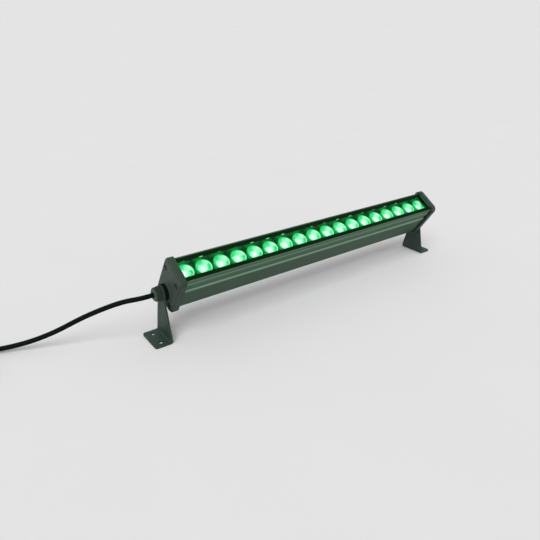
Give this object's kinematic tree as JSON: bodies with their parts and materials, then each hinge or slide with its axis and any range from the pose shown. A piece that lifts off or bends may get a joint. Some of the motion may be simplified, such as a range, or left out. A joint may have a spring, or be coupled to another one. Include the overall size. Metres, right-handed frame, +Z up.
{
  "type": "outdoor wall washer light",
  "caption": "Bar-shaped outdoor wall washer with a row of lenses behind glass in an extruded housing, cast end caps, two swivel brackets and a corded supply lead.",
  "frame": {"origin": "midway between the four foot holes, on the surface that the two feet stand on", "axes": "+X along the bar to its plain end, -X to the cable gland; +Z up; the window is turned up and to the front, -Y"},
  "size_m": [0.8329, 0.146, 0.1185],
  "materials": {
    "anodised_aluminium": "dark grey satin anodised extrusion, fine die lines along its length",
    "window_glass": "clear toughened glass, smooth",
    "black_rubber": "matte black silicone rubber",
    "board_black": "black solder mask on an aluminium board",
    "steel_screws": "stainless steel, satin",
    "led_package": "moulded package with a clear dome, lit green",
    "holder_plastic": "black moulded plastic",
    "lens_plastic": "clear moulded acrylic lens",
    "board_green": "green glass-fibre circuit board",
    "terminal_plastic": "green moulded terminal block",
    "transformer_tape": "yellow winding tape over a dark ferrite core",
    "capacitor_sleeve": "dark shrink sleeve",
    "component_black": "black epoxy package",
    "cast_paint": "dark grey powder coat on die-cast aluminium, fine grain",
    "bracket_paint": "dark grey powder coat on bent sheet steel, fine grain",
    "black_nylon": "black nylon",
    "gland_nylon": "dark grey moulded nylon",
    "cord_jacket": "black rubber jacket",
    "core_insulation": "coloured core insulation",
    "tie_fabric": "black hook-and-loop tape",
    "connector_plastic": "black moulded nylon",
    "brass_pins": "plated brass pins"
  },
  "bodies": {
    "lamp": {"housing_profile": "anodised_aluminium", "front_glass": "window_glass", "upper_glass_seal": "black_rubber", "lower_glass_seal": "black_rubber", "led_board": "board_black", "board_screws": "steel_screws", "led_chips": "led_package", "lens_holders": "holder_plastic", "lenses": "lens_plastic", "driver_board": "board_green", "terminal_block": "terminal_plastic", "driver_transformer": "transformer_tape", "driver_capacitors": "capacitor_sleeve", "driver_switches": "component_black", "left_end_cap": "cast_paint", "right_end_cap": "cast_paint", "left_gasket": "black_rubber", "right_gasket": "black_rubber", "left_cap_screws": "steel_screws", "right_cap_screws": "steel_screws", "left_friction_washer": "black_nylon", "right_friction_washer": "black_nylon", "gland_body": "gland_nylon", "gland_nut": "gland_nylon", "gland_seal": "black_rubber", "gland_locknut": "gland_nylon", "right_pivot_bolt": "steel_screws", "right_flat_washer": "steel_screws", "right_spring_washer": "steel_screws", "inner_lead": "cord_jacket", "supply_cores": "core_insulation", "board_wires": "core_insulation", "cord_lead": "cord_jacket", "cord_coil": "cord_jacket", "cord_tail": "cord_jacket", "coil_tie": "tie_fabric", "connector_body": "connector_plastic", "connector_ring": "connector_plastic", "connector_pins": "brass_pins"},
    "left_bracket_body": {"left_bracket": "bracket_paint"},
    "right_bracket_body": {"right_bracket": "bracket_paint"}
  },
  "joints": [
    {"name": "left_bracket_swivel", "type": "hinge", "parent": "lamp", "child": "left_bracket_body", "pos_m": [-0.2555, 0, 0.068], "axis": [1, 0, 0], "continuous": true},
    {"name": "right_bracket_swivel", "type": "hinge", "parent": "lamp", "child": "right_bracket_body", "pos_m": [0.2555, 0, 0.068], "axis": [1, 0, 0], "continuous": true}
  ]
}
